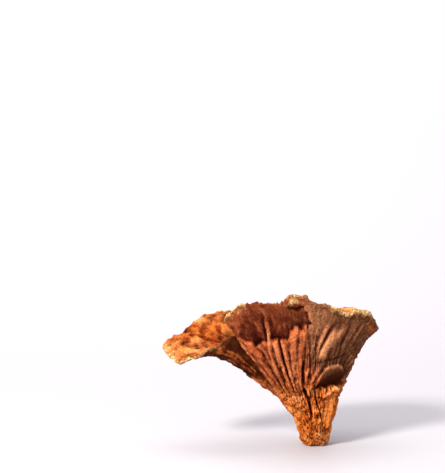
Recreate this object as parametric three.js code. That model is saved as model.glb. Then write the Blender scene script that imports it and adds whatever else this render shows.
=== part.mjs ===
// A dried lobster mushroom in one piece: a short blunt stem that opens into an irregular funnel of a cap.
// The cap is pleated once at the front left and reaches out to the left in a long drooping tongue.
// Millimetres, +Z up. The origin is on the flat spot under the stem, and the tongue points along -X.
import * as THREE from "three";

// The cap's margin, once round from the right tip by way of the back. Each row is one main rib:
// x, y, z of the margin, the side of the stem that the rib grows from and the slope of the wall
// at the margin (degrees), the thickness of the rim and of the wall just below it, and how much
// thicker the wall is low down.
const MARGIN = [
  [30.4, -3.5, 57.6, -20, 34, 2.2, 5.8, 19], // right tip
  [30, 9, 60.2, 6, 50, 4, 7, 23],
  [26, 22, 62.2, 28, 58, 5, 7.6, 23],
  [14, 30, 63.4, 50, 64, 5, 7.6, 19], // back wall
  [-2, 31, 64.6, 72, 64, 4.4, 5.6, 10],
  [-17, 27, 65, 92, 60, 3.4, 3.6, 1.5],
  [-32, 22.5, 64.5, 110, 50, 2.4, 2.6, 0],
  [-44, 17.5, 63.4, 126, 34, 2, 2, 0], // root of the tongue, at the back
  [-54, 13.5, 62, 140, 6, 2, 2, 0],
  [-65, 8, 54.6, 152, -12, 2, 2.1, 0],
  [-74.2, 1, 48.8, 163, -28, 2, 2.2, 0], // tip of the tongue
  [-67.5, -9, 42.6, 174, -34, 2, 2.2, 0],
  [-57, -11.5, 46.4, 184, -8, 2, 2.2, 0],
  [-47.5, -9, 51, 194, 26, 2, 2.3, 0], // root of the tongue, at the front
  [-38, -3.2, 57, 204, 58, 1.8, 2.4, 0], // bottom of the pleat
  [-40, -10, 61.6, 213, 62, 1.4, 2.4, 0],
  [-45.2, -16.5, 64.6, 223, 50, 1.2, 2.4, 0], // left corner of the front wall
  [-38.3, -21.5, 71.4, 234, 46, 1.3, 2.6, 0],
  [-28, -24.5, 73.6, 245, 44, 1.4, 2.8, 0],
  [-19.3, -25, 73, 256, 46, 1.5, 3.1, 0.5],
  [-10.4, -23, 78, 267, 54, 1.6, 3.6, 2], // highest point
  [-1, -20.5, 74.4, 278, 60, 1.8, 4.4, 6],
  [7.5, -18.5, 69.4, 289, 62, 2, 5, 9],
  [16, -16, 67, 301, 58, 2.2, 5.2, 12],
  [24, -13, 66.4, 314, 48, 3.6, 5, 14], // right shoulder
  [29, -9.5, 62.2, 327, 38, 2.4, 4.8, 15],
];
// The pleat beside the tongue runs on down the wall as a crease.
const PLEAT = { place: 14.25, width: 0.5, depth: 2, way: new THREE.Vector3(0.62, 0.7, 0.35) };
const BULGE = 3.5; // how far the front wall swells forward between the pleat and the right shoulder
// The stem's rings, from the flat spot to the neck: height, centre x and y, and half widths along x and y.
const STEM = [
  [0, -1, 1.4, 7.3, 7.2],
  [1.4, -0.6, 1.3, 7.8, 8.6],
  [5, -0.1, 1.1, 8.1, 9.6],
  [10, -0.5, 0.4, 8.9, 9.8],
  [14.5, -0.9, 0.2, 10.3, 10.6],
  [19, -1.9, 0, 12.8, 11.4],
  [23.5, -3.2, 0, 14.9, 12.2],
];
// The folds and creases that stand out at the front. Each follows a path up from its low end: steps of the
// place round the margin (in main ribs) and the height (0 flat spot, 1 neck, 2 margin). "left" and "right" are
// its half widths in main ribs. Blunt ones end abruptly at the top, and a negative height is a crease.
const FOLDS = [
  { path: [[17.15, 1.1], [17.2, 1.42], [17.48, 1.61], [17.95, 1.9]], left: 0.2, right: 0.2, height: 1.7 },
  { path: [[18.1, 1.1], [17.9, 1.28], [17.7, 1.45], [17.9, 1.6]], left: 0.22, right: 0.2, height: 2, blunt: true },
  { path: [[18.7, 1.1], [18.5, 1.3], [18.4, 1.5], [18.5, 1.6]], left: 0.25, right: 0.25, height: 2, blunt: true },
  { path: [[19.2, 1.2], [19.38, 1.45], [19.3, 1.67]], left: 0.28, right: 0.25, height: 1.9, blunt: true },
  { path: [[19.2, 1.1], [19.4, 1.3], [20.1, 1.55], [20.4, 1.7]], left: 0.24, right: 0.26, height: 2.3, blunt: true },
  { path: [[16.5, 1.15], [16.48, 1.33], [15.8, 1.69], [15.8, 1.95]], left: 0.2, right: 0.22, height: 1.1 },
  { path: [[16.9, 1.25], [16.93, 1.39], [16.33, 1.64]], left: 0.18, right: 0.18, height: 0.9 },
  { path: [[21.5, 1.46], [21.6, 1.6], [22.15, 1.88]], left: 0.2, right: 0.18, height: 1.6 },
  { path: [[21.58, 1.42], [21.77, 1.54], [22.6, 1.86]], left: 0.2, right: 0.8, height: 2.2 },
  { path: [[19.9, 1], [20.6, 1.18], [22.1, 1.34], [22.7, 1.41], [23.4, 1.46]], left: 0.3, right: 0.25, height: 2 },
  { path: [[20.1, 1.16], [20.98, 1.26], [22.15, 1.45]], left: 0.22, right: 0.2, height: 1.2 },
  { path: [[20.1, 1.18], [20.2, 1.28], [20.6, 1.36]], left: 0.2, right: 0.2, height: 1, blunt: true },
  { path: [[23.6, 0.45], [24.1, 0.8], [24.6, 1.2]], left: 0.55, right: 0.5, height: 1.5, blunt: true },
  { path: [[22.4, 1.04], [23.27, 1.12], [24.55, 1.2]], left: 0.35, right: 0.3, height: 1, blunt: true },
  { path: [[18.28, 1.12], [18.05, 1.4], [18.1, 1.62]], left: 0.17, right: 0.17, height: -1.6, blunt: true },
  { path: [[17.3, 1.34], [17.48, 1.52], [17.77, 1.67]], left: 0.18, right: 0.18, height: -1.2 },
  { path: [[19.45, 1.44], [19.67, 1.66]], left: 0.17, right: 0.17, height: -0.8 },
  { path: [[19.62, 1.16], [19.68, 1.26], [20.05, 1.44]], left: 0.2, right: 0.24, height: -2.2 },
  { path: [[19.55, 0.55], [19.45, 0.82], [19.62, 1.18]], left: 0.22, right: 0.22, height: -2, blunt: true },
  { path: [[22.6, 0.5], [21.38, 0.97], [21.2, 1.24]], left: 0.22, right: 0.22, height: -1.7 },
  { path: [[20.55, 1.36], [20.9, 1.5], [21.25, 1.74]], left: 0.45, right: 0.35, height: -1.5 },
  { path: [[21, 1.33], [21.55, 1.37], [22.43, 1.45], [23.5, 1.52]], left: 0.28, right: 0.25, height: -1.3 },
  { path: [[21.9, 1.17], [22.9, 1.27], [24.3, 1.38]], left: 0.5, right: 0.7, height: -1.9 },
];
const FINE_RIBS = 39; // fine ribs all the way round
const FINE_RIB_HEIGHT = 1.5;
const NOTCH_DEPTH = 0.7; // of the ragged margin
const LUMP_HEIGHT = 0.45; // of the uneven upper side of the cap
const HOLLOW_FOOT = new THREE.Vector3(-12, 4, 38.5); // lowest point of the funnel's hollow
const HOLLOW_FLOOR = 35; // height at which the wall's inside has run into the hollow's foot
const COLUMNS_PER_RIB = 6;
const STEM_ROWS = 7;
const WALL_ROWS = 17; // from the neck to the margin
const RIM_ROWS = 3; // round the rim of the wall
const HOLLOW_ROWS = 10; // down the inside

const RIBS = MARGIN.length;
const COLUMNS = RIBS * COLUMNS_PER_RIB;
const NECK = STEM[STEM.length - 1][0];
const { degToRad, clamp, smoothstep } = THREE.MathUtils;
const { sin, cos, abs, PI } = Math;

// A point of a Catmull-Rom curve between the middle two of four rows of numbers.
function between([a, b, c, d], f) {
  return b.map((_, k) => {
    const [p, q, r, s] = [a[k], b[k], c[k], d[k]];
    return q + 0.5 * f * (r - p + f * (2 * p - 5 * q + 4 * r - s + f * (3 * (q - r) + s - p)));
  });
}

function marginAt(u) {
  const i = Math.floor(u);
  const rows = [-1, 0, 1, 2].map((k) => {
    const turn = Math.floor((i + k) / RIBS);
    const row = [...MARGIN[i + k - turn * RIBS]];
    row[3] += 360 * turn; // the sides of the stem go on rising from one turn to the next
    return row;
  });
  const [x, y, z, side, slope, rim, wall, swell] = between(rows, u - i);
  return { point: new THREE.Vector3(x, y, z), side: degToRad(side), slope: degToRad(slope), rim, wall, swell };
}

function stemAt(side, height) {
  const last = STEM.length - 1;
  const i = Math.min(Math.floor(height * last), last - 1);
  const before = STEM[i - 1] ?? STEM[0].map((v, k) => 2 * v - STEM[1][k]);
  const after = STEM[i + 2] ?? STEM[last].map((v, k) => 2 * v - STEM[last - 1][k]);
  const [z, x, y, halfX, halfY] = between([before, STEM[i], STEM[i + 1], after], height * last - i);
  return new THREE.Vector3(x + halfX * cos(side), y + halfY * sin(side), z);
}

// The plain outer surface: s runs 0 to 1 up the stem and 1 to 2 from the neck to the margin.
function outside(u, s) {
  const { point, side, slope } = marginAt(u);
  if (s <= 1) return stemAt(side, s);
  const neck = stemAt(side, 1);
  const chord = point.clone().sub(neck);
  const reach = chord.length();
  // Where the margin droops, the wall leans over early and swings out in an arch.
  const droop = clamp((25 - THREE.MathUtils.radToDeg(slope)) / 50, 0, 1);
  const leave = neck.clone().sub(stemAt(side, 0.97)).normalize();
  leave.multiplyScalar(1 - 0.5 * droop).addScaledVector(chord, (0.5 * droop) / reach).normalize();
  const arrive = chord.clone().setZ(0).normalize().multiplyScalar(cos(slope)).setZ(sin(slope));
  const f = s - 1;
  const aside = (u - PLEAT.place) / PLEAT.width;
  const crease = PLEAT.depth * Math.exp(-aside * aside) * smoothstep(s, 1.05, 1.4) * (1 - smoothstep(s, 1.7, 2));
  const front = smoothstep(u, 14.9, 16.2) * (1 - smoothstep(u, 21, 24));
  const bulge = BULGE * front * smoothstep(s, 1.05, 1.4) * (1 - smoothstep(s, 1.6, 2));
  return neck
    .multiplyScalar(1 + f * f * (2 * f - 3))
    .addScaledVector(leave, f * (f - 1) * (f - 1) * reach * (0.8 + 0.48 * droop))
    .addScaledVector(point, f * f * (3 - 2 * f))
    .addScaledVector(arrive, f * f * (f - 1) * reach * (0.8 + 0.36 * droop))
    .addScaledVector(PLEAT.way, crease)
    .add(new THREE.Vector3(0, -bulge, 0));
}

function outwardAt(u, s) {
  const top = Math.min(s, 1.985);
  const across = outside(u + 0.05, top).sub(outside(u - 0.05, top));
  const along = outside(u, top + 0.015).sub(outside(u, Math.max(top - 0.015, 0)));
  return across.cross(along).normalize();
}

// The outward direction averaged over the neighbouring ribs, for the rim and the inside of the wall.
function softOutwardAt(u, s) {
  const sum = new THREE.Vector3();
  for (let k = -3; k <= 3; k++) sum.addScaledVector(outwardAt(u + 0.4 * k, s), Math.exp(-k * k / 4));
  return sum.normalize();
}

// How far the fine ribs stand out: rounded crests with narrow valleys, fading toward the margin
// and on the flatter parts of the front wall.
function ribAt(u, s) {
  const round = (2 * PI * u) / RIBS;
  const wander = 0.3 * sin(1.9 * s + 5 * round) + 0.22 * sin(5.1 * s + 11 * round);
  const crest = abs(sin(PI * ((u * FINE_RIBS) / RIBS + wander)));
  const fade = smoothstep(s, 0.15, 0.7) * (1 - 0.8 * smoothstep(s, 1.45, 1.9));
  const flat = smoothstep(u, 17.2, 18.2) * (1 - smoothstep(u, 25.2, 25.8)) * smoothstep(s, 1.15, 1.4);
  return FINE_RIB_HEIGHT * fade * (1 - 0.75 * flat) * (crest ** 0.8 - 0.6);
}

// The place round the margin at which a fold's path crosses a height.
function placeOn(path, s) {
  const above = path.findIndex((step) => step[1] > s);
  const k = above < 0 ? path.length - 1 : Math.max(above, 1);
  const [[fromU, fromS], [toU, toS]] = [path[k - 1], path[k]];
  return fromU + (toU - fromU) * clamp((s - fromS) / (toS - fromS), 0, 1);
}

function foldAt(u, s) {
  let height = 0;
  for (const fold of FOLDS) {
    const [low, high] = [fold.path[0][1], fold.path[fold.path.length - 1][1]];
    const t = (s - low) / (high - low);
    const aside = u - placeOn(fold.path, s);
    const width = aside < 0 ? fold.left : fold.right;
    const top = fold.blunt ? smoothstep(t, 0.93, 1.02) : smoothstep(t, 0.65, 1.08);
    height += fold.height * smoothstep(t, -0.05, 0.3) * (1 - top) * Math.exp(-(abs(aside / width) ** 2.5));
  }
  return height;
}

// How far the ragged margin rises or dips, and how much of that is left lower down the wall.
function raggedAt(u, s) {
  const round = (2 * PI * u) / RIBS;
  const wave = sin(19 * round + 0.5) * sin(7 * round) + 0.85 * sin(29 * round + 2);
  return new THREE.Vector3(0, 0, NOTCH_DEPTH * wave * smoothstep(s, 1.86, 2));
}

function lumpAt({ x, y, z }) {
  const broad = sin(0.62 * x + 0.3 * y + 1) * sin(0.55 * z - 0.4 * y);
  return LUMP_HEIGHT * (broad + 0.6 * sin(y - 0.7 * x) * sin(0.9 * x + z));
}

// One pass of evening out a closed ring of points.
function relaxed(ring) {
  const n = ring.length;
  return ring.map((p, i) => {
    const neighbours = ring[(i + n - 1) % n].clone().add(ring[(i + 1) % n]);
    return neighbours.multiplyScalar(0.25).addScaledVector(p, 0.5);
  });
}

function outerRing(columns, s) {
  return columns.map((u) => {
    const relief = ribAt(u, s) + foldAt(u, s);
    return outside(u, s).add(raggedAt(u, s)).addScaledVector(outwardAt(u, s), relief);
  });
}

function rimRing(columns, turn) {
  return columns.map((u) => {
    const { rim } = marginAt(u);
    const up = outside(u, 2).sub(outside(u, 1.97)).normalize();
    const across = (rim / 2) * (cos(PI * turn) - 1) + ribAt(u, 2) * (1 - turn);
    return outside(u, 2)
      .add(raggedAt(u, 2))
      .addScaledVector(softOutwardAt(u, 2), across)
      .addScaledVector(up, (rim / 2) * sin(PI * turn));
  });
}

// A ring of the hollow: row 0 at the margin, the last one just above the hollow's foot.
function hollowRing(columns, row) {
  const left = 1 - row / HOLLOW_ROWS;
  const gather = (1 - smoothstep(left, 0, 0.95)) ** 1.2;
  let ring = columns.map((u) => {
    const { point, side, rim, wall, swell } = marginAt(u);
    const floor = clamp((HOLLOW_FLOOR - NECK) / (point.z - NECK), 0.1, 0.9);
    const s = 1 + floor + (1 - floor) * left;
    const out = softOutwardAt(u, s);
    const body = rim + (wall - rim) * smoothstep(1 - left, 0, 0.25);
    const inner = outside(u, s).add(raggedAt(u, s)).addScaledVector(out, -body - (swell + 0.6) * (1 - left));
    inner.addScaledVector(out, lumpAt(inner) * Math.min(1, row / 2));
    const low = new THREE.Vector3(cos(side), sin(side), 0.2).multiplyScalar(6 * left).add(HOLLOW_FOOT);
    return inner.lerp(low, gather);
  });
  for (let pass = 0; pass < 2 + 2 * row; pass++) ring = relaxed(ring);
  return ring;
}

// A closed skin over the rings, from the middle of the flat spot to the foot of the hollow.
function skin(rings, first, last) {
  const points = [first, ...rings.flat(), last];
  const at = (ring, i) => 1 + ring * COLUMNS + (i % COLUMNS);
  const index = [];
  for (let i = 0; i < COLUMNS; i++) {
    index.push(0, at(0, i + 1), at(0, i));
    for (let j = 0; j < rings.length - 1; j++) {
      index.push(at(j, i), at(j, i + 1), at(j + 1, i + 1));
      index.push(at(j, i), at(j + 1, i + 1), at(j + 1, i));
    }
    index.push(at(rings.length - 1, i), at(rings.length - 1, i + 1), points.length - 1);
  }
  const geometry = new THREE.BufferGeometry().setFromPoints(points);
  geometry.setIndex(index);
  geometry.computeVertexNormals();
  return geometry;
}

const columns = Array.from({ length: COLUMNS }, (_, i) => i / COLUMNS_PER_RIB);
const rings = [];
for (let j = 0; j < STEM_ROWS; j++) rings.push(outerRing(columns, j / STEM_ROWS));
for (let j = 0; j <= WALL_ROWS; j++) rings.push(outerRing(columns, 1 + j / WALL_ROWS));
for (let j = 1; j <= RIM_ROWS; j++) rings.push(rimRing(columns, j / (RIM_ROWS + 1)));
for (let j = 0; j < HOLLOW_ROWS; j++) rings.push(hollowRing(columns, j));

const flatSpot = new THREE.Vector3(STEM[0][1], STEM[0][2], 0);
const mushroom = new THREE.Mesh(
  skin(rings, flatSpot, HOLLOW_FOOT),
  new THREE.MeshStandardMaterial({ color: 0x9a4a22, roughness: 0.85, metalness: 0 }),
);
mushroom.name = "mushroom";
const part = new THREE.Group();
part.name = "lobster_mushroom";
part.add(mushroom);
export default part;
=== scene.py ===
from math import pi, radians

import bmesh
import bpy
import numpy as np
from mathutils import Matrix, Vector, noise


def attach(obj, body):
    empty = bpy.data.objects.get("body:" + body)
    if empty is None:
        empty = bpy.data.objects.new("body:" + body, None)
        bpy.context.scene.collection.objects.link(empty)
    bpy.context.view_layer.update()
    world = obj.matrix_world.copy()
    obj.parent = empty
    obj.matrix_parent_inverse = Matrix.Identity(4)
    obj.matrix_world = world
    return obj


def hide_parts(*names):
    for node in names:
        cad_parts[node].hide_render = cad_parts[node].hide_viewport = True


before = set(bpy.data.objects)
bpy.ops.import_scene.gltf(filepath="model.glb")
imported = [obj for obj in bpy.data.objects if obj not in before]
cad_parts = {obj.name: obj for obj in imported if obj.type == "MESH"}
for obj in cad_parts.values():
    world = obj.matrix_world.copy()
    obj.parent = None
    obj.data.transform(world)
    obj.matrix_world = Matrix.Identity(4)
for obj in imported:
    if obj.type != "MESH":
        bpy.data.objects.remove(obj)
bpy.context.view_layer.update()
scene = bpy.context.scene
scene.view_settings.view_transform = "Standard"


# ---------------------------------------------------------------- Camera
# A long lens near the height of the table, tipped down a little. It stands so that the foot of the
# stem falls right of the middle and low in the frame.
CAMERA_PLACE = (-0.0462, -0.6468, 0.1550)
CAMERA_TILT = 85.5  # degrees up from straight down

lens = bpy.data.cameras.new("camera")
lens.lens = 100
lens.sensor_width = 36
lens.clip_start = 0.01
camera = bpy.data.objects.new("camera", lens)
camera.location = CAMERA_PLACE
camera.rotation_euler = (radians(CAMERA_TILT), 0, 0)
scene.collection.objects.link(camera)
scene.camera = camera


# ---------------------------------------------------------------- Table and light
# A pale matt table that sweeps up into a plain backdrop. A soft key light stands at the upper left
# in front and a weak, wide fill at the right, with a light on the backdrop and a bright room all round.
MIDDLE = (-0.02, 0, 0.04)  # what the key and the fill are aimed at
WARM, COOL, WHITE = (1.0, 0.96, 0.9), (0.93, 0.96, 1.0), (1.0, 1.0, 1.0)
ROOM_STRENGTH = 0.55
TABLE_REACH = 2.4
SWEEP_FROM = 0.16  # how far behind the stem the table starts to rise
SWEEP_RATE = 0.9
TABLE_PAINT = (0.49, 0.47, 0.505, 1)
TABLE_ROUGHNESS = 0.6


def area_light(name, place, aim, size, power, tint):
    light = bpy.data.lights.new(name, "AREA")
    light.size = size
    light.energy = power
    light.color = tint
    lamp = bpy.data.objects.new(name, light)
    lamp.location = place
    lamp.rotation_euler = (Vector(aim) - Vector(place)).to_track_quat("-Z", "Y").to_euler()
    scene.collection.objects.link(lamp)


area_light("key", (-0.5, -0.62, 0.62), MIDDLE, size=0.2, power=16, tint=WARM)
area_light("fill", (0.6, -0.7, 0.5), MIDDLE, size=0.8, power=1.5, tint=COOL)
area_light("backdrop", (0, 0.35, 1.0), (0, 0.9, 0.15), size=1.0, power=10.5, tint=WHITE)

room = bpy.data.worlds.new("room")
scene.world = room
room.use_nodes = True
room.node_tree.nodes["Background"].inputs["Color"].default_value = (*WHITE, 1)
room.node_tree.nodes["Background"].inputs["Strength"].default_value = ROOM_STRENGTH

table = bmesh.new()
bmesh.ops.create_grid(table, x_segments=1, y_segments=120, size=TABLE_REACH)
for v in table.verts:
    v.co.z = SWEEP_RATE * max(0.0, v.co.y - SWEEP_FROM) ** 2
table_mesh = bpy.data.meshes.new("table")
table.to_mesh(table_mesh)
table.free()
for face in table_mesh.polygons:
    face.use_smooth = True
paint = bpy.data.materials.new("pale_table")
paint.use_nodes = True
paint_shader = paint.node_tree.nodes["Principled BSDF"]
paint_shader.inputs["Base Color"].default_value = TABLE_PAINT
paint_shader.inputs["Roughness"].default_value = TABLE_ROUGHNESS
table_mesh.materials.append(paint)
table_top = bpy.data.objects.new("table", table_mesh)
scene.collection.objects.link(table_top)


# ---------------------------------------------------------------- Mushroom
# One dried fruit body, grown as one piece: a short stem that flares into a thin funnel, pleated at the
# front left and drawn out into a tongue at the left. It is one closed skin that stands on a flat spot,
# and its orange crust is the mould that makes a lobster mushroom.

# The grown form. The main ribs round the margin, in millimetres and degrees: x, y, z, side of the stem
# that the rib grows from, slope of the wall at the margin, thickness of the rim, of the wall just below
# it, and how much thicker the wall is low down.
MARGIN = np.array([
    (30.4, -3.5, 57.6, -20, 34, 2.2, 5.8, 19),  # right tip
    (29, 9, 60, 6, 50, 4, 7, 23),
    (26, 22, 61.2, 28, 58, 5, 7.6, 23),
    (14, 30, 62, 50, 64, 5, 7.6, 19),  # back wall
    (-2, 31, 63.6, 72, 64, 4.4, 5.6, 10),
    (-17, 27, 65, 92, 60, 3.4, 3.6, 1.5),
    (-32, 22.5, 64.5, 110, 50, 2.4, 2.6, 0),
    (-44, 17.5, 63.4, 126, 34, 2, 2, 0),  # root of the tongue, at the back
    (-54, 13.5, 62, 140, 6, 2, 2, 0),
    (-65, 8, 54.6, 152, -12, 2, 2.1, 0),
    (-74.2, 1, 48.8, 163, -28, 2, 2.2, 0),  # tip of the tongue
    (-67.5, -9, 42.6, 174, -34, 2, 2.2, 0),
    (-57, -11.5, 46.4, 184, -8, 2, 2.2, 0),
    (-47.5, -9, 51, 194, 26, 2, 2.3, 0),  # root of the tongue, at the front
    (-38, -3.2, 57, 204, 58, 1.8, 2.4, 0),  # bottom of the pleat
    (-40, -10, 61.6, 213, 62, 1.4, 2.4, 0),
    (-45.2, -16.5, 64.6, 223, 50, 1.2, 2.4, 0),  # left corner of the front wall
    (-38.3, -21.5, 71.4, 234, 46, 1.3, 2.6, 0),
    (-28, -24.5, 73.6, 245, 44, 1.4, 2.8, 0),
    (-19.3, -25, 73, 256, 46, 1.5, 3.1, 0.5),
    (-10.4, -23, 77.4, 267, 54, 1.6, 3.6, 2),  # highest point
    (-1, -20.5, 72.8, 278, 60, 1.8, 4.4, 6),
    (7.5, -18.5, 69.4, 289, 62, 2, 5, 9),
    (16, -16, 67, 301, 58, 2.2, 5.2, 12),
    (24, -13, 66.4, 314, 48, 3.6, 5, 14),  # right shoulder
    (27.9, -9.5, 62.2, 327, 38, 2.4, 4.8, 15),
], float)
SIDE, SLOPE, RIM, WALL, SWELL = 3, 4, 5, 6, 7  # the columns of MARGIN after x, y and z
RIBS = len(MARGIN)
# Rings of the stem, from the flat spot to the neck: height, centre x and y, half widths along x and y.
# It is nearly as thick as it is wide, and it leans a little to the left as it widens.
STEM = np.array([
    (0, 0.1, 1.6, 5.2, 5.6),
    (1.4, 0, 1.4, 6.7, 7.6),
    (5, 0, 1.1, 7.7, 9.3),
    (10, -0.6, 0.4, 8.8, 9.8),
    (14.5, -0.9, 0.2, 10.3, 10.6),
    (19, -1.9, 0, 12.8, 11.4),
    (23.5, -3.2, 0, 14.9, 12.2),
], float)
NECK = STEM[-1, 0]
BELOW_NECK = 0.97  # how far up the stem its direction is taken, for the wall to go on in
UPRIGHT, DROOPING = 25, -25  # slopes, in degrees, between which the wall goes over into the tongue
PULL = 0.8  # how far the wall keeps its first and last directions, as a share of its reach
NECK_DROOP, MARGIN_DROOP = 0.48, 0.36  # how much further it does so in the tongue
PLEAT = (14.25, 0.5)  # its place round the margin and its half width, in main ribs
PLEAT_DEPTH = 2
PLEAT_WAY = np.array((0.62, 0.7, 0.35))
BULGE = 3.5  # how far the front wall swells forward between the pleat and the right shoulder
UP = np.array((0, 0, 1.0))
STEP_ROUND, STEP_UP = 0.05, 0.015  # the steps over which a direction on the wall is measured
SOFT_STEP = 0.4  # the step, in main ribs, at which directions are averaged


def clip(x, low, high):
    return np.minimum(np.maximum(x, low), high)


def ease(x, low, high):
    """0 up to low, 1 from high on, and a smooth rise between them."""
    t = clip((x - low) / (high - low), 0, 1)
    return t * t * (3 - 2 * t)


def stretch(x, begins, full, fades, ends):
    """1 from full to fades, and 0 before it begins and after it ends."""
    return ease(x, begins, full) * (1 - ease(x, fades, ends))


def hump(x, middle, half_width):
    """1 in the middle and falling away on both sides of it."""
    return np.exp(-(((x - middle) / half_width) ** 2))


def unit(v):
    return v / np.linalg.norm(v, axis=-1, keepdims=True)


def between(a, b, c, d, f):
    """A Catmull-Rom curve between the middle two of four rows."""
    f = f[..., None]
    return b + 0.5 * f * (c - a + f * (2 * a - 5 * b + 4 * c - d + f * (3 * (b - c) + d - a)))


def margin_at(u):
    """The row of MARGIN at u, which counts main ribs round the cap from the right tip."""
    i = np.floor(u).astype(int)
    rows = []
    for k in (-1, 0, 1, 2):
        turn = (i + k) // RIBS
        row = MARGIN[i + k - turn * RIBS].copy()
        row[..., SIDE] += 360 * turn
        rows.append(row)
    return between(*rows, u - i)


def stem_at(side, height):
    """The stem at a side, in radians, and at a height from 0 in the flat spot to 1 at the neck."""
    last = len(STEM) - 1
    rings = np.vstack((2 * STEM[0] - STEM[1], STEM, 2 * STEM[last] - STEM[last - 1]))
    i = clip(np.floor(height * last).astype(int), 0, last - 1)
    z, x, y, half_x, half_y = np.moveaxis(
        between(rings[i], rings[i + 1], rings[i + 2], rings[i + 3], height * last - i), -1, 0
    )
    return np.stack((x + half_x * np.cos(side), y + half_y * np.sin(side), z), -1)


def outside(u, s):
    """The plain outer surface: s runs 0 to 1 up the stem and 1 to 2 from the neck to the margin."""
    u, s = np.broadcast_arrays(np.asarray(u, float), np.asarray(s, float))
    row = margin_at(u)
    point = row[..., :3]
    side = np.radians(row[..., SIDE])
    slope = row[..., SLOPE, None]
    neck = stem_at(side, np.ones_like(s))
    chord = point - neck
    reach = np.linalg.norm(chord, axis=-1, keepdims=True)
    droop = clip((UPRIGHT - slope) / (UPRIGHT - DROOPING), 0, 1)
    leave = unit(neck - stem_at(side, np.full_like(s, BELOW_NECK)))
    leave = unit(leave * (1 - 0.5 * droop) + chord * 0.5 * droop / reach)
    arrive = unit(chord * (1, 1, 0)) * np.cos(np.radians(slope)) + UP * np.sin(np.radians(slope))
    f = clip(s - 1, 0, 1)[..., None]
    wall = (
        neck * (1 + f * f * (2 * f - 3))
        + leave * f * (f - 1) ** 2 * reach * (PULL + NECK_DROOP * droop)
        + point * f * f * (3 - 2 * f)
        + arrive * f * f * (f - 1) * reach * (PULL + MARGIN_DROOP * droop)
    )
    # The pleat beside the tongue runs on down the wall as a crease.
    place = u % RIBS
    crease = PLEAT_DEPTH * hump(place, *PLEAT) * stretch(s, 1.05, 1.4, 1.7, 2)
    bulge = BULGE * stretch(place, 14.9, 16.2, 21, 24) * stretch(s, 1.05, 1.4, 1.6, 2)
    wall = wall + PLEAT_WAY * crease[..., None] - (0, 1, 0) * bulge[..., None]
    return np.where((s <= 1)[..., None], stem_at(side, clip(s, 0, 1)), wall)


def outward(u, s):
    """The direction out of the wall."""
    top = np.minimum(s, 2 - STEP_UP)
    across = outside(u + STEP_ROUND, top) - outside(u - STEP_ROUND, top)
    along = outside(u, top + STEP_UP) - outside(u, np.maximum(top - STEP_UP, 0))
    return unit(np.cross(across, along))


def soft_outward(u, s):
    """The direction out of the wall, averaged over a little more than a rib to each side."""
    return unit(sum(outward(u + SOFT_STEP * k, s) * np.exp(-k * k / 4) for k in range(-3, 4)))


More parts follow.
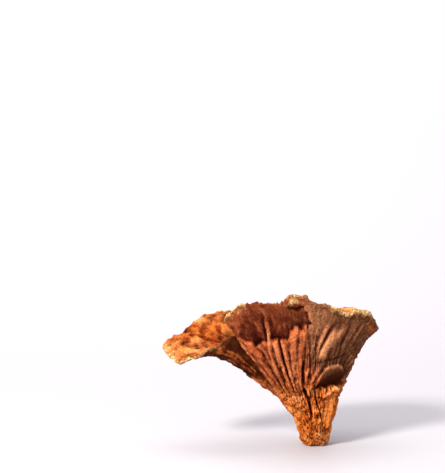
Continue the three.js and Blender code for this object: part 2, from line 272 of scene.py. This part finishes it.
# Ribs and folds. Drying has drawn the wall into blunt ribs with narrow valleys, and the biggest folds
# at the front stand out as fingers. Each fold: places (u, s) from low to high, half width to the left
# and to the right in main ribs, height in millimetres (a crease where it is negative), and whether its
# top ends bluntly.
FOLDS = (
    # The fingers at the front, from left to right.
    (((17.15, 1.1), (17.2, 1.42), (17.48, 1.61), (17.95, 1.9)), 0.15, 0.15, 1.8, False),
    (((18.1, 1.1), (17.93, 1.28), (17.7, 1.45), (17.8, 1.61)), 0.28, 0.24, 1.5, True),
    (((18.6, 1.1), (18.42, 1.3), (18.3, 1.5), (18.42, 1.6)), 0.26, 0.26, 1.4, True),
    (((18.8, 1.2), (18.92, 1.4), (19.1, 1.53), (19.4, 1.69)), 0.26, 0.36, 1.3, True),
    (((19.25, 1.1), (19.4, 1.34), (19.75, 1.5), (20.05, 1.66)), 0.28, 0.34, 1.4, True),
    # Thin ridges at the left of the front wall.
    (((16.5, 1.15), (16.48, 1.33), (16.1, 1.52), (15.8, 1.69), (15.8, 1.95)), 0.16, 0.2, 1.1, False),
    (((16.9, 1.25), (16.93, 1.39), (16.55, 1.51), (16.33, 1.64)), 0.12, 0.12, 0.9, False),
    (((17.1, 1.35), (16.9, 1.51), (16.7, 1.62)), 0.11, 0.11, 0.8, True),
    # The two long folds high at the right, and the folds that slant across under them.
    (((21.4, 1.5), (21.5, 1.61), (21.7, 1.71), (22.05, 1.87)), 0.14, 0.16, 1.3, False),
    (((21.58, 1.42), (21.77, 1.54), (22.15, 1.69), (22.6, 1.86)), 0.15, 0.6, 2.4, False),
    (((19.93, 1.02), (20.65, 1.18), (21.5, 1.26)), 0.3, 0.22, 1.6, False),
    (((20.1, 1.16), (20.98, 1.26), (21.52, 1.36), (21.77, 1.4), (22.1, 1.45)), 0.2, 0.2, 1.6, False),
    (((20.1, 1.18), (20.2, 1.28), (20.6, 1.36)), 0.14, 0.14, 1.3, True),
    (((20.75, 1.42), (20.85, 1.52), (20.95, 1.62)), 0.15, 0.15, 0.9, False),
    # The smooth fold up the right of the stem, and the one that crosses over its top.
    (((23.6, 0.45), (24.1, 0.8), (24.35, 1.06), (24.6, 1.2)), 0.55, 0.5, 1.5, True),
    (((22.4, 1.04), (23.27, 1.12), (24.55, 1.2)), 0.35, 0.3, 1.6, True),
    # Clefts between the fingers.
    (((17.26, 1.58), (17.5, 1.71), (17.62, 1.79), (17.74, 1.88)), 0.08, 0.08, -1.1, False),
    (((18.28, 1.12), (18.2, 1.23), (18.05, 1.4), (18.1, 1.62)), 0.1, 0.1, -1.1, True),
    (((17.3, 1.34), (17.48, 1.52), (17.77, 1.67)), 0.12, 0.12, -1.0, False),
    # Three soft folds at the right.
    (((22.75, 1.5), (22.85, 1.66), (23.0, 1.92)), 0.24, 0.3, 0.9, False),
    (((23.6, 1.52), (23.62, 1.7), (23.6, 1.92)), 0.22, 0.3, 0.9, False),
    (((24.1, 1.5), (24.3, 1.7), (24.4, 1.92)), 0.2, 0.24, 0.8, False),
    # The deep creases that run from the stem up into the wall, and a broad dip between the folds.
    (((19.62, 1.16), (19.68, 1.26), (20.05, 1.44)), 0.16, 0.2, -1.8, False),
    (((19.55, 0.6), (19.85, 0.82), (20.1, 1.03), (19.7, 1.16)), 0.3, 0.3, -2.6, True),
    (((22.6, 0.5), (21.9, 0.74), (21.38, 0.97), (21.3, 1.11), (21.2, 1.24)), 0.18, 0.18, -1.9, False),
    (((22.52, 1.0), (22.08, 1.22)), 0.15, 0.15, -1.2, False),
    (((20.55, 1.36), (20.9, 1.5), (21.25, 1.74)), 0.45, 0.35, -0.9, False),
    # A fold with a crease under it at the right edge.
    (((0.5, 1.12), (0.6, 1.2), (0.75, 1.36)), 0.32, 0.4, 1.6, False),
    (((0.5, 0.98), (0.6, 1.06), (0.7, 1.13)), 0.32, 0.5, -1.3, False),
)
FOLD_START = (-0.05, 0.3)  # over which share of its length a fold rises from the wall
BLUNT_END, THIN_END = (0.93, 1.02), (0.65, 1.08)  # and over which it goes back into it
FOLD_SQUARENESS = 3.5  # 2 makes a round top, and more a flatter one with steeper sides
FINE_RIBS = 39
RIB_HEIGHT = 1.5
RIB_BLUNTNESS = 0.8
RIB_MIDDLE = 0.6  # the share of its height by which a rib is set into the plain form
NOTCH_DEPTH = 0.7
NOTCH_GRAIN = 34
NOISE_FALL, NOISE_STEP = 0.9, 2.0  # how fast the finer octaves of a noise fade, and how much finer each is


def grain(u, s, around, along):
    """A place in a noise that is stretched along the ribs and closes on itself round the cap."""
    turn = 2 * pi * u / RIBS
    return np.stack((around * np.cos(turn), around * np.sin(turn), along * s), -1)


def rough(points, octaves=3):
    """Fractal noise of about -1 to 1 at each point."""
    flat = points.reshape(-1, 3)
    values = [noise.fractal(Vector(p), NOISE_FALL, NOISE_STEP, octaves) for p in flat.tolist()]
    return np.array(values).reshape(points.shape[:-1])


def ribs(u, s):
    """The fine ribs: they wander, die out toward the foot and the margin, and are low at the front."""
    turn = 2 * pi * u / RIBS
    wander = 0.3 * np.sin(1.9 * s + 5 * turn) + 0.22 * np.sin(5.1 * s + 11 * turn)
    crest = np.abs(np.sin(pi * (u * FINE_RIBS / RIBS + wander)))
    fade = (0.35 * ease(s, 0.15, 0.7) + 0.65 * ease(s, 0.9, 1.3)) * (1 - 0.8 * ease(s, 1.45, 1.9))
    flat = stretch(u % RIBS, 17.2, 18.2, 25.2, 25.8) * ease(s, 1.15, 1.4)
    return RIB_HEIGHT * fade * (1 - 0.75 * flat) * (crest ** RIB_BLUNTNESS - RIB_MIDDLE)


def folds(u, s):
    """The height of all of FOLDS together."""
    height = np.zeros_like(s)
    u = u % RIBS
    for path, left, right, tall, blunt in FOLDS:
        places, levels = zip(*path)
        t = (s - levels[0]) / (levels[-1] - levels[0])
        aside = u - np.interp(s, levels, places)
        ends = stretch(t, *FOLD_START, *(BLUNT_END if blunt else THIN_END))
        ends *= 0.75 + 0.5 * blunt * clip(t, 0, 1)  # a blunt fold is highest at its top
        aside = np.abs(aside / np.where(aside < 0, left, right))
        height += tall * ends * np.exp(-(aside ** FOLD_SQUARENESS))
    return height


def ragged(u, s):
    """The torn margin: notches and points that start a little below it."""
    turn = 2 * pi * u / RIBS
    wave = 0.7 * np.sin(19 * turn + 0.5) * np.sin(7 * turn) + 0.6 * np.sin(29 * turn + 2)
    wave += 1.5 * rough(grain(u, 0 * u, NOTCH_GRAIN, 1), 3)
    return UP * (NOTCH_DEPTH * wave * ease(s, 1.86, 2))[..., None]


def through(x, *points):
    """The height at x of a line through the points, level before the first and after the last."""
    return np.interp(x, *zip(*points))


# One closed skin. It is a single grid, wrapped round the stem and cap: its rows run from the middle of
# the flat spot up the outside, over the rim and down the inside to the foot of the hollow.
MM = 0.001
COLUMNS = 440
FOOT_ROWS, STEM_ROWS, WALL_ROWS, RIM_ROWS, HOLLOW_ROWS = 3, 48, 100, 7, 62
SEAM = 4.5  # the seam of the grid is at the back
EVEN = 520  # even steps round the cap
HOLLOW_FOOT = np.array((-12, 4, 38.5))
HOLLOW_FOOT_RADIUS = 6
FOOT_RISE = 0.2  # how the rings round the foot rise, for each millimetre outward
FOOT_PULL = 1.2  # how late the rings of the hollow draw in to the foot
HOLLOW_FLOOR = 35  # the height down to which the hollow follows the outside
SPARE_WALL = 0.6  # wall that the hollow's lumps may take up
FULL_WALL = 0.25  # how far down the hollow the wall has gone over from the rim's thickness to its own

# Columns stand closest at the front and are widest apart at the back. Each pair gives main ribs from
# the seam, and how close the columns are there.
steps = np.linspace(0, RIBS, EVEN + 1)
closeness = through(steps, (0, 9), (3, 9), (4, 14), (9, 14), (10.5, 23), (21.5, 23), (22.5, 9), (RIBS, 9))
reached = np.concatenate(((0,), np.cumsum((closeness[1:] + closeness[:-1]) / 2)))
u = SEAM + np.interp(np.arange(COLUMNS) / COLUMNS * reached[-1], reached, steps)
margin_row = margin_at(u)
side = np.radians(margin_row[:, SIDE])
rim = margin_row[:, RIM, None]

plain = []  # the rings of the plain form
height = []  # s of each ring: -1 to 0 in the flat spot, 0 to 2 outside, to 3 over the rim, to 4 inside
flat_spot = stem_at(side, np.zeros(COLUMNS))
flat_middle = np.array((STEM[0, 1], STEM[0, 2], 0))
for j in range(FOOT_ROWS):
    plain.append(flat_middle + (flat_spot - flat_middle) * j / FOOT_ROWS)
    height.append(-1 + j / FOOT_ROWS)
for s in [j / STEM_ROWS for j in range(STEM_ROWS)] + [1 + j / WALL_ROWS for j in range(WALL_ROWS + 1)]:
    plain.append(outside(u, s) + ragged(u, s))
    height.append(s)
top = plain[-1]
top_out = soft_outward(u, 2.0)
top_up = unit(outside(u, 2.0) - outside(u, 2 - 2 * STEP_UP))
for j in range(1, RIM_ROWS + 1):
    turn = pi * j / (RIM_ROWS + 1)
    plain.append(top + top_out * rim / 2 * (np.cos(turn) - 1) + top_up * rim / 2 * np.sin(turn))
    height.append(2 + j / (RIM_ROWS + 1))

# The hollow is worked out at even steps round the cap, evened out more and more toward its foot,
# and then read at the columns.
even = SEAM + np.arange(EVEN) / EVEN * RIBS
even_row = margin_at(even)
even_side = np.radians(even_row[:, SIDE])
even_rim, even_wall, even_swell = (even_row[:, k, None] for k in (RIM, WALL, SWELL))
foot_way = np.stack((np.cos(even_side), np.sin(even_side), np.full(EVEN, FOOT_RISE)), -1)
floor = clip((HOLLOW_FLOOR - NECK) / (even_row[:, 2] - NECK), 0.1, 0.9)
waves = np.abs(np.fft.fftfreq(EVEN, 1 / EVEN))[:, None]
for j in range(HOLLOW_ROWS + 1):
    depth = j / HOLLOW_ROWS
    left = 1 - depth
    s = 1 + floor + (1 - floor) * left
    body = even_rim + (even_wall - even_rim) * ease(depth, 0, FULL_WALL)
    body = body + (even_swell + SPARE_WALL) * depth
    ring = outside(even, s) + ragged(even, s) - soft_outward(even, s) * body
    foot = HOLLOW_FOOT + foot_way * HOLLOW_FOOT_RADIUS * left
    ring += (foot - ring) * (1 - ease(left, 0, 0.95)) ** FOOT_PULL
    blur = np.sqrt(1 + 10 * depth) / 6 * 2 * pi / RIBS  # from a sixth to over half of a main rib
    ring = np.fft.ifft(np.fft.fft(ring, axis=0) * np.exp(-0.5 * (blur * waves) ** 2), axis=0).real
    plain.append(np.stack([np.interp(u, even, ring[:, k], period=RIBS) for k in range(3)], -1))
    height.append(3 + depth)
plain = np.array(plain)
height = np.array(height)
ROWS = len(height) - 1


def softened(values, cells):
    """The values evened out over some cells round the cap and along the ribs."""
    waves = np.fft.fftfreq(COLUMNS, 1 / COLUMNS)
    around = np.exp(-2 * (pi * cells * waves / COLUMNS) ** 2)
    soft = np.fft.ifft(np.fft.fft(values, axis=1) * around, axis=1).real
    reach = 3 * cells
    weights = np.exp(-0.5 * (np.arange(-reach, reach + 1) / cells) ** 2)
    padded = np.pad(soft, ((reach, reach), (0, 0)), mode="edge")
    return sum(w * padded[k:k + len(values)] for k, w in enumerate(weights)) / weights.sum()


U, S = np.meshgrid(u, height)
turned = U % RIBS  # how far round the cap, in main ribs
climb = clip(S, 0, 2)  # how far up the outside: 0 at the foot, 1 at the neck and 2 at the margin
on_outside = stretch(S, 0, 0.06, 2.0, 2.6)
on_inside = ease(S, 2.4, 3.02)
across = np.roll(plain, -1, 1) - np.roll(plain, 1, 1)
along = np.gradient(plain, axis=0)
normal = np.cross(across, along)
normal /= np.maximum(np.linalg.norm(normal, axis=-1, keepdims=True), 1e-9)

# Noises for the relief and the colours. Those read at grain() run along the ribs, and the others are
# read in millimetres: the larger the factor, the finer they are. The number added puts each one at a
# place of its own. A little of them is added to most borders below, so that none runs straight.
streaks = rough(grain(U, S, 16, 5), 4)
veins = 1 - clip(np.abs(rough(grain(U, S, 15, 3.4) + 3, 3)) / 0.2, 0, 1)
stray = rough(plain * 0.16 + 20, 3)  # bends the ribs and breaks them up
threads = rough(grain(U, S, 44, 8) + 7, 3)
pebbles = rough(plain * 0.32, 4)
grit = rough(plain * 1.1 + 40, 3)
crackle = rough(plain * (0.46, 0.46, 0.24) + 90, 3)
lumps = rough(plain * 0.13 + 60, 2)
on_stem = 1 - ease(S + 0.15 * pebbles, 0.9, 1.4)
on_tongue = ease(-plain[..., 0], 36, 50)

# The left half of the front wall dried thin and sank in behind the tops of the folds.
SUNK_DEPTH = 1.5
wine_panel_foot = through(
    turned, (15.9, 1.8), (16.12, 1.75), (16.3, 1.7), (16.65, 1.62), (16.85, 1.6), (17.12, 1.62),
    (17.6, 1.62), (18.15, 1.6), (18.75, 1.62), (18.98, 1.67), (19.18, 1.7), (19.52, 1.69),
    (19.95, 1.67), (20.43, 1.69), (20.77, 1.76),
)
# This panel is also painted wine-dark further down: partly its own colour and partly a painted shadow.
wine_panel = ease(climb - wine_panel_foot + 0.035 * pebbles, -0.015, 0.015)
wine_panel *= 0.4 + 0.6 * ease(turned - 16.35 - 3.2 * clip(climb - 1.78, 0, 1) + 0.2 * stray, -0.25, 0.1)
wine_panel *= ease(turned, 15.5, 15.9)
wine_panel *= 1 - ease(turned - (1.78 - climb) * 7 + 0.3 * stray + 0.12 * pebbles, 20.65, 20.88)
sunk = wine_panel * (1 - ease(climb, 1.8, 1.97))

# The stem is cracked all round, except on the smooth fold up its right side.
smooth_fold = hump(turned - 2 * (S - 0.85), 23.5, 0.75) * stretch(S, 0.5, 0.7, 1.05, 1.15)
cracks = on_stem * on_outside * (1 - ease(np.abs(crackle), 0.0, 0.18)) * (1 - smooth_fold)

# Low at the right a broad lobe stands off the wall like a lid: a sharp edge above, from which its
# face falls away into a dark hollow. A faint crease crosses the wall above it.
LID_HEIGHT, LID_FALL = 1.8, 4.2
CREASE_DEPTH = 0.5
lid_top = through(
    turned, (21.3, 1.19), (21.62, 1.25), (21.93, 1.33), (22.43, 1.4), (22.9, 1.43), (23.58, 1.43),
    (24.3, 1.4), (25.2, 1.37),
)
lid_foot = through(
    turned, (21.3, 1.18), (21.93, 1.165), (22.6, 1.175), (23.5, 1.19), (24.6, 1.2), (25.6, 1.21)
)
lid = ease(lid_top - climb + 0.01 * pebbles, -0.008, 0.012)
lid *= ease(climb - lid_foot + 0.03 * pebbles, -0.012, 0.012)
lid *= ease(turned, 21.3, 21.5) * (1 - ease(turned + 0.5 * pebbles, 24.9, 25.7))
down = clip((lid_top - climb) / (lid_top - lid_foot), 0, 1)  # 0 at the lid's edge and 1 at its foot
crease_at = through(turned, (21.2, 1.4), (21.65, 1.44), (22.52, 1.48), (23.52, 1.5), (24.5, 1.53))
crease = hump(climb + 0.01 * pebbles, crease_at, 0.016) * stretch(turned, 21, 21.5, 23.4, 24.5)

# A torn pocket in the wall under the highest point of the margin, with a crumb in it.
TEAR_DEPTH, CRUMB_HEIGHT = 0.9, 0.7
tear_at = 1.85 + 0.05 * ((turned - 19.9) / 0.45) ** 2
tear = hump(climb + 0.03 * pebbles, tear_at, 0.013) * stretch(turned, 19.25, 19.45, 20.2, 20.4)
crumb = hump(turned, 19.68, 0.3) * hump(climb, 1.945, 0.035)

# All of the relief, in millimetres out from the plain form. The low relief is higher on the stem and
# the tongue, and at the right edge.
STREAK, THREAD, VEIN = 0.2, 0.08, 0.6
PEBBLE, STEM_PEBBLE, EDGE_PEBBLE = 0.34, 0.3, 0.9
UPPER_STREAK = 0.6  # on the upper side, as are the next two lines
UPPER_PEBBLE, TONGUE_PEBBLE = 0.4, 0.35
UPPER_LUMP, TONGUE_LUMP = 0.8, 0.7
GRIT, MORE_GRIT = 0.2, 0.14
folding = folds(U + 0.05 * stray, climb) * (1 - lid) + lid * (LID_HEIGHT - LID_FALL * down ** 0.8)
folding += CRUMB_HEIGHT * crumb - TEAR_DEPTH * tear - CREASE_DEPTH * crease
plain_right = ease(turned, 20.8, 22) * ease(climb, 1.3, 1.45)  # the calmer wall at the upper right
edge_lumps = (ease(turned, 24.4, 25.2) + 1 - ease(turned, 1, 2)) * stretch(climb, 0.95, 1.1, 1.5, 1.7)
between_ribs = stretch(S, 0.9, 1.2, 1.55, 1.8) * (1 - 0.8 * ease(folding, 0.3, 1))
outer = STREAK * streaks + THREAD * threads + (PEBBLE + STEM_PEBBLE * on_stem) * pebbles
outer = outer * (1 - 0.45 * plain_right) + VEIN * veins * between_ribs + EDGE_PEBBLE * edge_lumps * pebbles
upper = (UPPER_PEBBLE + TONGUE_PEBBLE * on_tongue) * pebbles + (UPPER_LUMP + TONGUE_LUMP * on_tongue) * lumps
upper += UPPER_STREAK * streaks * (1 - ease(S, 3.6, 3.95))
gritty = GRIT + MORE_GRIT * (on_stem * on_outside + on_inside * on_tongue)
fine = on_outside * outer + on_inside * upper + gritty * grit - cracks
fine *= ease(S, -0.01, 0.05) * (1 - 0.5 * wine_panel * on_outside) * (1 - 0.6 * smooth_fold)
fine *= 1 - 0.5 * lid * on_outside
ribbing = ribs(U + 0.16 * stray, climb) * (1 + 0.8 * lumps) * (1 - 0.9 * lid)
relief = on_outside * (ribbing + folding - SUNK_DEPTH * sunk) + fine
skin_points = (plain + normal * relief[..., None]) * MM
skin_points[..., 2] = np.maximum(skin_points[..., 2], 0)

flesh = bmesh.new()
bmesh.ops.create_grid(flesh, x_segments=COLUMNS, y_segments=ROWS, size=1)
cell = flesh.verts.layers.int.new("cell")
for v in flesh.verts:
    column = round((v.co.x + 1) / 2 * COLUMNS) % COLUMNS
    row = round((v.co.y + 1) / 2 * ROWS)
    v[cell] = row * COLUMNS + column
    v.co = skin_points[row, column]
bmesh.ops.remove_doubles(flesh, verts=flesh.verts, dist=1e-7)
bmesh.ops.recalc_face_normals(flesh, faces=flesh.faces)
flesh_mesh = bpy.data.meshes.new("lobster_mushroom")
flesh.to_mesh(flesh_mesh)
flesh.free()
for face in flesh_mesh.polygons:
    face.use_smooth = True
mushroom = bpy.data.objects.new("lobster_mushroom", flesh_mesh)
scene.collection.objects.link(mushroom)


# Where each colour of the crust lies: bright orange on the stem and tongue, rust on the ribs, wine-dark on
# the sunken panel at the upper left, partly its own colour and partly a painted shadow, dull at the right,
# partly painted shade, and cream crumbs on the rim.
def store(name, values, kind="FLOAT", field="value"):
    cells = np.empty(len(flesh_mesh.vertices), np.int32)
    flesh_mesh.attributes["cell"].data.foreach_get("value", cells)
    picked = values.reshape(-1, *values.shape[2:])[cells]
    flesh_mesh.attributes.new(name, kind, "POINT").data.foreach_set(field, picked.astype(np.float32).ravel())


def greatest(*values):
    return np.maximum.reduce(values)


up_to_rim = 1 - ease(S + 0.1 * pebbles, 2.7, 3.0)
tip_patch = hump(turned, 25.1, 0.5) * hump(climb, 1.93, 0.05) * on_outside
store("bright", np.maximum(on_stem * on_outside, on_inside * on_tongue) + 0.6 * tip_patch)
# Smooth fold up the stem: a clearer orange, partly its own smooth crust and partly a painted highlight.
store("sheen", smooth_fold * on_outside)
store("upper_side", on_inside)
store("grain", grain(U, S, 30, 6), "FLOAT_VECTOR", "vector")

# How deep each point lies in the relief round it, over three distances in cells: 0.5 is level.
# The colour is darkened in the hollows and lightened on the crests by it: painted shade and highlight.
cavity = sum(share * (relief - softened(relief, cells)) for share, cells in ((0.7, 2), (0.6, 5), (0.2, 12)))
store("cavity", clip(0.5 + 0.42 * cavity * (1 - on_inside * (0.5 - 0.2 * on_tongue)), 0, 1))

# Dull olive-brown: the upper right of the front, the wall at the right edge, and a narrow band under
# the highest point of the margin. It is partly the crust's own tone and partly painted shade on the
# right side, which faces away from the key light.
band = hump(climb, 1.745, 0.04) * stretch(turned, 18.5, 18.9, 20.5, 20.8)
dull = greatest(
    ease(turned + 0.3 * pebbles, 20.0, 20.9) * ease(climb + 0.05 * streaks, 1.28, 1.42),
    ease(turned, 21.6, 22.4) * ease(climb, 1.2, 1.24),
    (1 - ease(turned, 0.6, 1.8)) * ease(climb + 0.05 * streaks, 1.15, 1.35),
    band,
)
store("dull", dull * up_to_rim * (1 - 0.9 * tip_patch))
# The tongue's underside and the pleat beside it: its own dark crust, with painted shade under the tongue.
store("underside", stretch(turned, 7.5, 9, 15.0, 15.6) * ease(climb, 1.1, 1.35) * on_outside)

# Cream: crumbs along the rim, thick in places and missing in others, and the crumb in the torn pocket.
cream_place = through(
    turned, (0, 0.3), (1, 1), (5, 1), (8, 0.5), (9.5, 0.5), (10.3, 0.8), (11.6, 0.8), (12.4, 0.2),
    (15.8, 0.3), (16, 1), (17.2, 0.8), (17.5, 0), (19.4, 0), (19.6, 0.8), (20.1, 0.8), (20.3, 0.1),
    (22, 0.2), (22.4, 0.8), (24, 0.8), (24.5, 0.1),
)
cream = ease(S + 0.05 * grit + 0.05 * pebbles, 1.97, 2.06) * (1 - ease(S + 0.3 * pebbles, 2.85, 3.05))
crumbly = np.maximum(stretch(turned, 10, 10.5, 11.6, 12.2), stretch(turned, 15.6, 15.8, 17.2, 17.4))
scattered = ease(lumps + 0.6 * stray + 0.4 * ease(turned, 21.5, 22.5), -0.3, 0.25)
cream *= cream_place * (0.3 + 0.7 * np.maximum(crumbly, scattered))
store("cream", np.maximum(cream, 0.9 * crumb * on_outside * ease(0.7 + pebbles + 0.5 * grit, 0.2, 0.7)))

# Pale: the tops of the folds, lightened as a painted highlight where they stand up into the light, and
# the faded stretch between the fingers and the dull side.
paleness = through(turned, (18.8, 1), (19.2, 0.2), (20.2, 0.3), (21.2, 1.8))
paleness *= (1 - 0.5 * lid * ease(down, 0.08, 0.3)) * (1 + 1.3 * wine_panel)
faded = 0.8 * stretch(turned, 20, 20.5, 21.6, 22.4) * ease(climb, 1.4, 1.6)
store("pale", on_outside * (faded + ease(folding + 0.3 * pebbles, 0.6, 1.8) * (1 - on_stem) * paleness))

# Painted shade: brown laid over the torn pocket, the creases, the pleat, the face of the lid, the right
# edge beside it and under the rim, where shade falls.
MOST_SHADE = 0.92
in_creases = on_outside * (0.7 * tear + 0.65 * ease(-folding, 0.4, 2.7))
in_pleat = 0.88 * stretch(turned, 12.8, 13.5, 15.5, 15.95) * ease(climb, 1.3, 1.5) * (1 - ease(S, 3.05, 3.4))
lid_shade = 0.9 * lid * on_outside * ease(down + 0.22 * (turned - 22.9), 0.1, 0.95)
right_shade = 0.3 * on_outside * ease(turned, 23.2, 24.4) * stretch(climb, 1.18, 1.22, 1.42, 1.6)
rim_shade = 0.5 * hump(climb, 1.968, 0.012) * stretch(turned, 21.2, 21.6, 23, 23.6) * (S < 2.02)
store("painted_shade", clip(in_creases + in_pleat + lid_shade + right_shade + rim_shade, 0, MOST_SHADE))

# Wine-dark: the sunken panel, partly its own colour and partly a painted shadow, worn thinner toward its
# right and its top and painted lighter toward the top, out of the recess's shade; a faint trace below it at
# the left; and spots on the upper side of the tongue, darker where it meets the cap as painted shade.
worn = 1 - 0.15 * ease(turned, 18, 18.4) - 0.2 * ease(turned, 19, 19.6)
worn -= 0.25 * ease(turned + 0.3 * pebbles, 18.6, 20) * ease(climb, 1.74, 1.84) + 0.25 * band
faint = 0.22 * stretch(turned, 15.8, 16.2, 17.1, 17.6) * ease(climb, 1.05, 1.25)
# Painted shade on the tongue's upper side where it meets the cap; spots of its own colour all over it.
by_cap = on_inside * stretch(plain[..., 0], -60, -42, -38, -32)
by_cap = 0.14 * on_inside * on_tongue * ease(0.6 + pebbles, 0, 1) + 0.4 * by_cap * ease(0.5 + pebbles, 0, 1)
# Painted shade low in the sunken panel, giving way toward the rim.
wine_shaded_low = up_to_rim * (1 - 0.45 * ease(climb + 0.04 * streaks, 1.76, 1.9))
store("wine_panel", np.maximum(np.maximum(wine_panel * worn, faint) * wine_shaded_low, by_cap))

# The crust itself, mixed from those places. Colours are red, green and blue; each ramp goes from the
# dark to the light of one tint.
PALE_TAN = (0.46, 0.19, 0.085, 1)
# Orange of the smooth fold, partly a painted highlight.
HIGHLIGHT_ORANGE = (0.55, 0.165, 0.035, 1)
# The brown of the painted shade.
SHADE_BROWN = (0.045, 0.0085, 0.0022, 1)
crust = bpy.data.materials.new("lobster_crust")
crust.use_nodes = True
nodes = crust.node_tree.nodes
links = crust.node_tree.links
shader = nodes["Principled BSDF"]
shader.inputs["Roughness"].default_value = 0.75
shader.inputs["Specular IOR Level"].default_value = 0.03


def attribute(name, vector=False):
    node = nodes.new("ShaderNodeAttribute")
    node.attribute_name = name
    return node.outputs["Vector" if vector else "Fac"]


def mixed(fac, first, second, blend="MIX"):
    node = nodes.new("ShaderNodeMix")
    node.data_type = "RGBA"
    node.blend_type = blend
    for name, value in (("Factor", fac), ("A", first), ("B", second)):
        if isinstance(value, bpy.types.NodeSocket):
            links.new(value, node.inputs[name])
        else:
            node.inputs[name].default_value = value
    return node.outputs["Result"]


def noise_at(place, scale, detail=4, roughness=0.6):
    node = nodes.new("ShaderNodeTexNoise")
    node.inputs["Scale"].default_value = scale
    node.inputs["Detail"].default_value = detail
    node.inputs["Roughness"].default_value = roughness
    links.new(place, node.inputs["Vector"])
    return node.outputs["Fac"]


def ramp(fac, *stops):
    node = nodes.new("ShaderNodeValToRGB")
    elements = node.color_ramp.elements
    while len(elements) < len(stops):
        elements.new(0.5)
    for element, (place, colour) in zip(elements, stops):
        element.position = place
        element.color = (*colour, 1)
    links.new(fac, node.inputs["Fac"])
    return node.outputs["Color"]


def level(fac, low, high):
    node = nodes.new("ShaderNodeMapRange")
    node.inputs["From Min"].default_value = low
    node.inputs["From Max"].default_value = high
    links.new(fac, node.inputs["Value"])
    return node.outputs["Result"]


def bumped(strength, distance, height, below=None):
    node = nodes.new("ShaderNodeBump")
    node.inputs["Strength"].default_value = strength
    node.inputs["Distance"].default_value = distance
    links.new(height, node.inputs["Height"])
    if below is not None:
        links.new(below, node.inputs["Normal"])
    return node.outputs["Normal"]


place = nodes.new("ShaderNodeTexCoord").outputs["Object"]
mottle = noise_at(place, 220, detail=5)
speckle = noise_at(place, 900, detail=3)
fibres = noise_at(attribute("grain", vector=True), 1.0)
mottled = mixed(0.7, fibres, mottle)
striped = mixed(0.35, fibres, mottle)

rust = ramp(mottled, (0.3, (0.14, 0.03, 0.009)), (0.5, (0.245, 0.056, 0.018)), (0.72, (0.42, 0.13, 0.05)))
orange = ramp(mottle, (0.32, (0.26, 0.05, 0.009)), (0.5, (0.42, 0.11, 0.018)), (0.7, (0.64, 0.23, 0.05)))
patches = ramp(noise_at(place, 75), (0.36, (0.55, 0.32, 0.2)), (0.47, (1, 1, 1)), (0.6, (1.05, 1.3, 2.2)))
orange = mixed(0.8, orange, patches, "MULTIPLY")
wine = ramp(striped, (0.32, (0.044, 0.007, 0.003)), (0.52, (0.1, 0.019, 0.007)), (0.7, (0.27, 0.068, 0.026)))
olive = ramp(
    striped, (0.3, (0.075, 0.026, 0.011)), (0.5, (0.135, 0.048, 0.021)), (0.72, (0.27, 0.105, 0.048))
)
butter = ramp(speckle, (0.36, (0.25, 0.1, 0.03)), (0.5, (0.45, 0.27, 0.1)), (0.66, (0.7, 0.56, 0.27)))
inner = ramp(mottle, (0.3, (0.26, 0.07, 0.015)), (0.55, (0.45, 0.15, 0.035)), (0.75, (0.6, 0.28, 0.12)))
shaded = ramp(
    mottle, (0.38, (0.026, 0.005, 0.0015)), (0.52, (0.08, 0.017, 0.005)), (0.68, (0.32, 0.08, 0.018))
)
# Painted shade in the hollows of the relief and painted highlight on its crests.
cavity_shade_and_highlight = ramp(
    attribute("cavity"),
    (0.1, (0.15, 0.065, 0.045)), (0.36, (0.56, 0.42, 0.38)), (0.52, (1, 1, 1)), (0.85, (1.7, 1.6, 1.5)),
)
dust = ramp(
    noise_at(place, 1150, detail=3, roughness=0.7),
    (0.34, (0.52, 0.46, 0.43)), (0.5, (1, 1, 1)), (0.66, (1.5, 1.56, 1.62)),
)

colour = mixed(attribute("upper_side"), rust, inner)
colour = mixed(attribute("bright"), colour, orange)
colour = mixed(attribute("dull"), colour, olive)
colour = mixed(attribute("underside"), colour, shaded)
colour = mixed(attribute("wine_panel"), colour, wine)
colour = mixed(attribute("cream"), colour, butter)
# Painted highlight on the fold tops, and the faded stretch.
colour = mixed(level(attribute("pale"), 0, 3), colour, PALE_TAN)
colour = mixed(1.0, colour, cavity_shade_and_highlight, "MULTIPLY")
colour = mixed(attribute("sheen"), colour, HIGHLIGHT_ORANGE)
colour = mixed(0.8, colour, dust, "MULTIPLY")
# Painted shade over all the rest.
colour = mixed(attribute("painted_shade"), colour, SHADE_BROWN)
links.new(colour, shader.inputs["Base Color"])

grainy = bumped(0.5, 0.0004, noise_at(place, 1400, detail=5))
crumbs = bumped(0.6, 0.0011, noise_at(place, 520, detail=5, roughness=0.65), below=grainy)
links.new(crumbs, shader.inputs["Normal"])
flesh_mesh.materials.append(crust)

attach(mushroom, "root")
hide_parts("mushroom")
